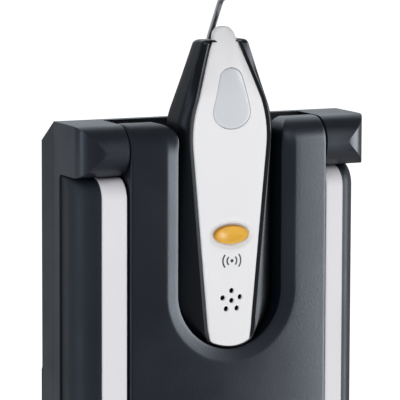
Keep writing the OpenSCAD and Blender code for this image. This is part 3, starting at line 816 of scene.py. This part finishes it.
def dome(x, z, depth=0.0):
    """Depth of the pale cover's face behind the front plane of the transmitter."""
    half = float(np.interp(z, EDGE_Z, EDGE_X))
    back = 0.0 if z < 63.5 else (z - 63.5) ** 2 / 66.0
    sag = 1.05 + 1.15 * math.exp(-(((z - 72.0) / 5.0) ** 2))
    share = min(1.15, abs(x) / half)
    return 0.75 + back + sag * share**2 + depth


def pen(x, d, z):
    return (x, FRONT + d, PEN_Z + z)


def full_loop(half):
    """Closed loop from a half outline that starts and ends on the middle line."""
    return half + [(-x, z) for x, z in reversed(half[1:-1])]


def make_receiver_shell():
    """The black body: a lip round the pale cover, flanks out to the widest line, and a rounded back."""
    b = Build()
    clip = SHOULDER - 0.5
    rows = []

    def ring(half, depths):
        """Adds a closed row from a half outline and the depth of each of its points."""
        rows.append([pen(x, d, z) for (x, z), d in zip(full_loop(half), depths + depths[-2:0:-1])])

    inner = cover_outline(0.08, clip)
    ring(inner, [5.2] * len(inner))
    for grow, sink in ((0.08, 0.5), (0.14, 0.34), (0.30, 0.26)):
        half = cover_outline(grow, clip)
        ring(half, [dome(x, z) + sink for x, z in half])
    rim, wide = cover_outline(1.15, clip), body_outline()
    rim_d = [dome(x, z) + 0.25 for x, z in cover_outline(0.0, clip)]
    ring(cover_outline(1.0, clip), [d + 0.02 for d in rim_d])
    # from the rim out to the widest line, with soft ends
    steps = (0.0, 0.06, 0.14, 0.35, 0.6, 0.8, 0.92, 0.985)
    sinks = (0.02, 0.0, 0.0, 0.0, 0.0, 0.02, 0.1, 0.3)
    for t, sink in zip(steps, sinks):
        half = [between(p, q, t) for p, q in zip(rim, wide)]
        ring(half, [d + 0.12 + (5.0 - d) * t**1.45 + sink for d in rim_d])
    for depth in (5.9, 8.5):
        ring(wide, [depth] * len(wide))
    # the back rounds off earlier towards the tip
    back_r, more_r = 4.2, 3.0
    for t in np.linspace(0, PI / 2, 10):
        half = body_outline(back_r * 0.9 * (1 - math.cos(t)))
        near_tip = [min(1.0, max(0.0, (z - 50.0) / 26.0)) for x, z in half]
        radii = [back_r + more_r * f * f * (3 - 2 * f) for f in near_tip]
        ring(half, [PEN_BACK - r + r * math.sin(t) for r in radii])
    b.grid(rows, wrap=True)
    b.cap(rows[-1])
    obj = finish_mesh("receiver_shell_moulding", b, BLACK, sharp=40)
    # seat of the battery door and the groove that holds the wire
    lo, hi = box_mm("battery_door")
    seat = rectangle(lo[0] - 0.1, lo[2] - 0.1, hi[0] + 0.1, hi[2] + 0.1)
    combine(obj, plug("seat", seat, lo[1] - 0.05, hi[1] + 2, BLACK), "DIFFERENCE")
    groove = rectangle(-WIRE_R - 0.1, PEN_Z + 66.1, WIRE_R + 0.1, PEN_Z + 90)
    combine(obj, plug("groove", groove, pen_hi[1] - 1.65, pen_hi[1] + 2, BLACK), "DIFFERENCE")
    shade(obj.data, 40)
    return place(obj, "receiver", "black_plastic", "receiver_shell")


# lens ellipse (height, half width, half height) and circle (height, radius); ring of sound holes
LENS_LOW, LENS_HIGH = (60.0, 5.25, 4.3), (67.9, 3.3)
HOLES_Z, HOLES_R, HOLE_R = 12.0, 2.53, 0.66


def drop_outline(grow=0.0):
    """A flat ellipse below and a small circle above."""
    (z0, w0, h0), (z1, r1) = LENS_LOW, LENS_HIGH
    turn = np.radians(np.linspace(-90, 14, 26))
    low = [((w0 + grow) * math.cos(t), z0 + (h0 + grow) * math.sin(t)) for t in turn]
    return full_loop(resample(low + arc(0, z1, r1 + grow, 14, 90, 14), 1.2))


SEAT_GAP = 0.7


def oval(w, h, n=56):
    """An oval loop whose point count doesn't depend on its size."""
    return [(w / 2 * math.cos(t), BUTTON_Z + h / 2 * math.sin(t)) for t in np.linspace(0, 2 * PI, n + 1)[:-1]]


def outward(loop):
    """Each point of a closed loop with its outward direction."""
    out = []
    area = sum(a[0] * b[1] - b[0] * a[1] for a, b in zip(loop, loop[1:] + loop[:1]))
    sign = 1 if area > 0 else -1
    for i, (x, z) in enumerate(loop):
        px, pz = loop[i - 1]
        qx, qz = loop[(i + 1) % len(loop)]
        dx, dz = qx - px, qz - pz
        n = math.hypot(dx, dz) or 1
        out.append((x, z, sign * dz / n, -sign * dx / n))
    return out


def button_dish(x, z):
    """The shallow dished ring round the button."""
    w, h = BUTTON_W + SEAT_GAP, BUTTON_H + SEAT_GAP
    reach = math.hypot(x, z - BUTTON_Z)
    share = math.hypot(2 * x / w, 2 * (z - BUTTON_Z) / h)
    off = reach - reach / max(share, 1e-6)
    width = 0.85
    if off > width:
        return 0.0
    t = 1 - max(0.0, off) / width
    return 0.42 * t * t * (3 - 2 * t)


# depth of the back of the cover's tip
TIP_BACK = 7.3


def cover_lift(x, z, depth=0.0):
    return pen(x, dome(x, z) + depth + button_dish(x, z), z)


def make_receiver_cover():
    """The pale domed cover with its lens opening, button seat and sound holes."""
    b = Build()
    edge = 0.4
    loop = full_loop(cover_outline(-edge))
    holes = [drop_outline(0.16), oval(BUTTON_W + SEAT_GAP, BUTTON_H + SEAT_GAP)]
    centres = [(0.0, HOLES_Z)] + turned(0.0, HOLES_Z, HOLES_R, PI / 2 + 2 * PI / 5 * np.arange(5))
    holes += [arc(x, z, HOLE_R + 0.1, 0, 360, 25)[:-1] for x, z in centres]
    guides = [oval(BUTTON_W + SEAT_GAP + 2 * g, BUTTON_H + SEAT_GAP + 2 * g) for g in (0.25, 0.5, 0.85)]
    skin(b, loop, holes, [g + g[:1] for g in guides], 0.8, cover_lift)

    def wall(i, p):
        """The cover's side, deeper where its tip stands above the black shoulders."""
        in_shell = p[2] - PEN_Z < SHOULDER - 1
        return (p[0], max(p[1], FRONT + 5.0) if in_shell else FRONT + TIP_BACK, p[2])

    run = outward(loop)
    edge_strip(b, run + run[:1], cover_lift, edge, tail=[wall])
    for hole, r, deep in [(holes[0], 0.12, 2.2), (holes[1], 0.15, 1.6)] + [(h, 0.06, 0.7) for h in holes[2:]]:
        run = [(x, z, -dx, -dz) for x, z, dx, dz in outward(hole)]
        side = [lambda i, p, deep=deep: (p[0], p[1] + deep, p[2])]
        edge_strip(b, run + run[:1], cover_lift, r, tail=side)
    # back of the tip, above the black shoulders
    tip = [(x, z) for x, z in full_loop(cover_outline(0.0)) if z > SHOULDER - 1]
    tip.sort(key=lambda p: math.atan2(p[1] - SHOULDER, p[0]))
    b.cap([pen(x, TIP_BACK, z) for x, z in tip])
    obj = finish_mesh("receiver_cover_moulding", b, WHITE, sharp=50)
    return place(obj, "receiver", "white_plastic", "receiver_cover")


def pillow(name, loop, lift, edge, deep, material, step):
    """A thin insert with a rolled edge."""
    b = Build()
    shrunk = [(x - dx * edge, z - dz * edge) for x, z, dx, dz in outward(loop)]
    skin(b, shrunk, [], [], step, lift)
    run = outward(shrunk)
    edge_strip(b, run + run[:1], lift, edge, tail=[lambda i, p: (p[0], p[1] + deep, p[2])])
    return finish_mesh(name, b, material, sharp=50)


def make_lens():
    lens = pillow("indicator_lens_moulding", drop_outline(-0.04),
                  lambda x, z, d=0.0: pen(x, dome(x, z) - 0.08 + d, z), 0.4, 1.8, LENS, 0.7)
    return place(lens, "receiver", "lens_plastic", "indicator_lens")


def make_button_ring():
    """The pale ring in the dish: outer side, soft top and inner side."""
    rows = []
    profile = ((0.25, 2.6), (0.25, 1.55), (0.2, 1.42), (0.05, 1.38), (-0.3, 1.5), (-0.35, 1.6), (-0.35, 2.6))
    for grow, d in profile:
        rows.append([pen(x, d, z) for x, z in oval(BUTTON_W + 2 * grow, BUTTON_H + 2 * grow)])
    b = Build()
    b.grid(rows, wrap=True)
    b.grid([rows[-1], rows[0]], wrap=True)
    return place(finish_mesh("button_ring_moulding", b, RING), "receiver", "ring_plastic", "button_ring")


def make_test_button():
    """The amber button, dished and tilted a little to the light."""
    def lift(x, z, d=0.0):
        u, v = x / (BUTTON_W / 2), (z - BUTTON_Z) / (BUTTON_H / 2)
        q = min(1.2, u * u + v * v)
        return pen(x, 0.50 + 0.34 * q**3 + 0.75 * (1 - q) ** 2 - 0.12 * v + d, z)

    outline = oval(BUTTON_W - 0.6, BUTTON_H - 0.6)
    button = pillow("test_button_moulding", outline, lift, 0.35, 2.4, AMBER, 0.5)
    return place(button, "button", "amber_plastic", "test_button")


def make_sound_hole_shade():
    """Near-black disc just behind the sound holes: painted shade inside the holes."""
    rows = [[pen(x, d, z) for x, z in arc(0, HOLES_Z, 3.9, 0, 360, 49)[:-1]] for d in (2.15, 2.5)]
    return place(solid("sound_hole_shade", rows[0], rows[1], HOLE_SHADE), "receiver", "black_plastic")


def make_wire():
    """Round wire from its foot in the back of the receiver, up its groove, over the tip and forward."""
    lean, tip_lean, bend_r = math.radians(33.5), math.radians(72), 4.0
    d0 = PEN_BACK - 0.8
    path = [(d0 - 2.4, 67.0), (d0 - 1.0, 67.0)]
    path += turned(d0 - 1, 68, 1, np.linspace(-PI / 2, 0, 9)[1:])
    path += [(d0, 70.0), (d0, 73.0), (d0, 76.0)]
    path += turned(d0 - 3, 76.5, 3, np.linspace(0, lean, 8))
    neck = np.array(path[-1])
    top = neck + 10.4 * np.array([-math.sin(lean), math.cos(lean)])
    path += [between(neck, top, k / 5) for k in range(1, 6)]
    centre = top - bend_r * np.array([math.cos(lean), math.sin(lean)])
    path += turned(*centre, bend_r, np.linspace(lean, tip_lean, 9)[1:])
    last = np.array(path[-1])
    path += [tuple(last + k * np.array([-math.sin(tip_lean), math.cos(tip_lean)])) for k in (1.5, 3.0, 3.9)]
    around = np.linspace(0, 2 * PI, 33)[:-1]
    rows = []
    for i, (d, z) in enumerate(path):
        along = np.array(path[min(i + 1, len(path) - 1)]) - np.array(path[max(i - 1, 0)])
        nd, nz = np.array([along[1], -along[0]]) / np.linalg.norm(along) * WIRE_R
        rows.append([pen(WIRE_R * math.cos(t), d + nd * math.sin(t), z + nz * math.sin(t)) for t in around])
    b = Build()
    b.grid(rows, wrap=True)
    b.cap(rows[0])
    b.cap(rows[-1])
    obj = finish_mesh("wire_hook_bent", b, CHROME)
    soften(obj, 0.12, 2, 60)
    return place(obj, "receiver", "wire_chrome", "wire_hook")


def make_mark():
    """A generic mark below the button: a dot between two pairs of waves."""
    b = Build()
    z0 = 22.2
    proud, sunk = -0.025, 0.05

    def on_cover(x, z, off):
        return pen(x, dome(x, z) + off, z)

    def stroke(points, half):
        rows = []
        for i, (x, z) in enumerate(points):
            ax, az = points[max(i - 1, 0)]
            bx, bz = points[min(i + 1, len(points) - 1)]
            n = math.hypot(bx - ax, bz - az)
            nx, nz = -(bz - az) / n * half, (bx - ax) / n * half
            top, low = (x + nx, z + nz), (x - nx, z - nz)
            sides = ((top, sunk), (top, proud), (low, proud), (low, sunk))
            rows.append([on_cover(*p, off) for p, off in sides])
        b.grid(rows, wrap=True)
        b.cap(rows[0])
        b.cap(rows[-1])

    for sx in (-1, 1):
        for r, span in ((1.35, 48), (2.5, 40)):
            stroke([(sx * x, z) for x, z in arc(0, z0, r, -span, span, 13)], 0.2)
    disc = arc(0, z0, 0.45, 0, 360, 25)[:-1]
    face = [on_cover(x, z, proud) for x, z in disc]
    b.cap(face)
    b.grid([face, [on_cover(x, z, sunk) for x, z in disc]], wrap=True)
    return place(finish_mesh("wave_mark_print", b, INK), "receiver", "black_plastic")


make_receiver_shell()
make_receiver_cover()
make_lens()
make_button_ring()
make_test_button()
make_sound_hole_shade()
make_wire()
make_mark()

# ---------- CAD nodes that stay: materials and softened edges ----------
KEPT = {
    "rear_shell": (DARK, 0.4), "shell_screws": (STEEL, 0.15), "hinge_pins": (PIN, 0.15),
    "main_board": (BOARD, 0.1), "transformer": (CORE, 0.3), "capacitor": (FILM, 0.5), "fuse": (GLASS, 0.2),
    "fuse_clips": (BRASS, 0.1), "socket_sleeves": (BRASS, 0.15), "socket_bush_left": (SOCKET_BLACK, 0.2),
    "socket_bush_right": (SOCKET_RED, 0.2), "holding_magnets": (NICKEL, 0.15), "cover_screws": (STEEL, 0.15),
    "cover_pads": (PAD, 0.25), "receiver_board": (BOARD, 0.1), "button_switch": (BLACK, 0.15),
    "indicator_leds": (LED, 0.3), "buzzer": (BLACK, 0.2), "sensor_coil": (COPPER, 0.15),
    "coin_cell": (NICKEL, 0.25), "cell_contacts": (BRASS, 0.08), "battery_door": (BLACK, 0.2),
    "door_screw": (STEEL, 0.1), "keeper_plate": (PIN, 0.1), "receiver_screws": (STEEL, 0.1),
}
for node, (look, width) in KEPT.items():
    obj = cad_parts[node]
    for slot_of in obj.material_slots:
        slot_of.material = look
    if not obj.material_slots:
        obj.data.materials.append(look)
    soften(obj, width, 2, 40)

# ---------- floor, light and camera ----------
floor_mat, floor_tree, floor_shader, floor_coord = node_material("studio_floor")
floor_tone = ramp(floor_tree, noise(floor_tree, floor_coord, 3.0), [(0.3, grey(0.90)), (0.7, grey(0.93))])
floor_tree.links.new(floor_tone, floor_shader.inputs["Base Color"])
floor_shader.inputs["Roughness"].default_value = 0.9
floor_shader.inputs["Specular IOR Level"].default_value = 0.1
floor_shader.inputs["Emission Color"].default_value = (1, 1, 1, 1)
floor_shader.inputs["Emission Strength"].default_value = 0.9
floor_mesh = bpy.data.meshes.new("studio_floor")
reach = 60.0
corners = rectangle(-reach, -reach, reach, reach)
floor_mesh.from_pydata([(x, y, 0) for x, y in corners], [], [(0, 1, 2, 3)])
floor_mesh.materials.append(floor_mat)
floor = bpy.data.objects.new("studio_floor", floor_mesh)
bpy.context.scene.collection.objects.link(floor)
floor.location.z = -0.0002
floor.visible_glossy = False
floor.visible_shadow = False

world = bpy.data.worlds.new("studio")
bpy.context.scene.world = world
world.use_nodes = True
world.node_tree.nodes["Background"].inputs["Color"].default_value = (1, 1, 1, 1)
world.node_tree.nodes["Background"].inputs["Strength"].default_value = 0.22

middle = Vector((0.0, 0.0, 0.1))


def area_light(name, azimuth, elevation, distance, size, power, shines=True, reflects=True, colour=(1, 1, 1)):
    """A soft panel aimed at the object, for fill or reflections. Azimuth 0 is in front, 90 to the right."""
    a, e = math.radians(azimuth), math.radians(elevation)
    light = bpy.data.lights.new(name, "AREA")
    light.shape = "RECTANGLE"
    light.size, light.size_y = size
    light.energy = power
    light.color = colour
    obj = bpy.data.objects.new(name, light)
    bpy.context.scene.collection.objects.link(obj)
    obj.visible_diffuse = shines
    obj.visible_glossy = reflects
    obj.visible_camera = False
    away = Vector((math.sin(a) * math.cos(e), -math.cos(a) * math.cos(e), math.sin(e)))
    obj.location = middle + away * distance
    obj.rotation_euler = (-away).to_track_quat("-Z", "Y").to_euler()
    return obj


COOL = (0.82, 0.91, 1.0)
area_light("key_front", -30, 35, 0.9, (0.6, 0.6), 2.9, reflects=False)
area_light("card_right", 65, 2, 0.75, (0.6, 0.7), 9.0, shines=False)
area_light("card_back", 155, 32, 0.9, (0.9, 0.7), 1.9, shines=False, colour=COOL)
area_light("card_left", -150, 5, 0.9, (0.7, 1.0), 0.48, shines=False, colour=COOL)
area_light("strip_left", -97, 5, 0.9, (0.16, 1.0), 1.7, shines=False, colour=COOL)

view_azimuth, view_elevation, view_roll = math.radians(25.336), math.radians(7.592), math.radians(0.181)
view_distance, view_lens = 0.832911, 297.713
target = Vector((-8.398 * MM, (FRONT + SAG) * MM, (TOP - 19.382) * MM))
level = Vector((math.sin(view_azimuth), math.cos(view_azimuth), 0))
forward = level * math.cos(view_elevation) - Vector((0, 0, math.sin(view_elevation)))
right = Vector((math.cos(view_azimuth), -math.sin(view_azimuth), 0))
up = right.cross(forward)
cam_right = right * math.cos(view_roll) + up * math.sin(view_roll)
cam_up = up * math.cos(view_roll) - right * math.sin(view_roll)
camera_data = bpy.data.cameras.new("camera")
camera_data.lens = view_lens
camera_data.sensor_width = 36
camera_data.clip_start = 0.01
camera = bpy.data.objects.new("camera", camera_data)
bpy.context.scene.collection.objects.link(camera)
turn = Matrix((cam_right, cam_up, -forward)).transposed().to_4x4()
camera.matrix_world = Matrix.Translation(target - forward * view_distance) @ turn
bpy.context.scene.camera = camera
bpy.context.scene.view_settings.view_transform = "Standard"
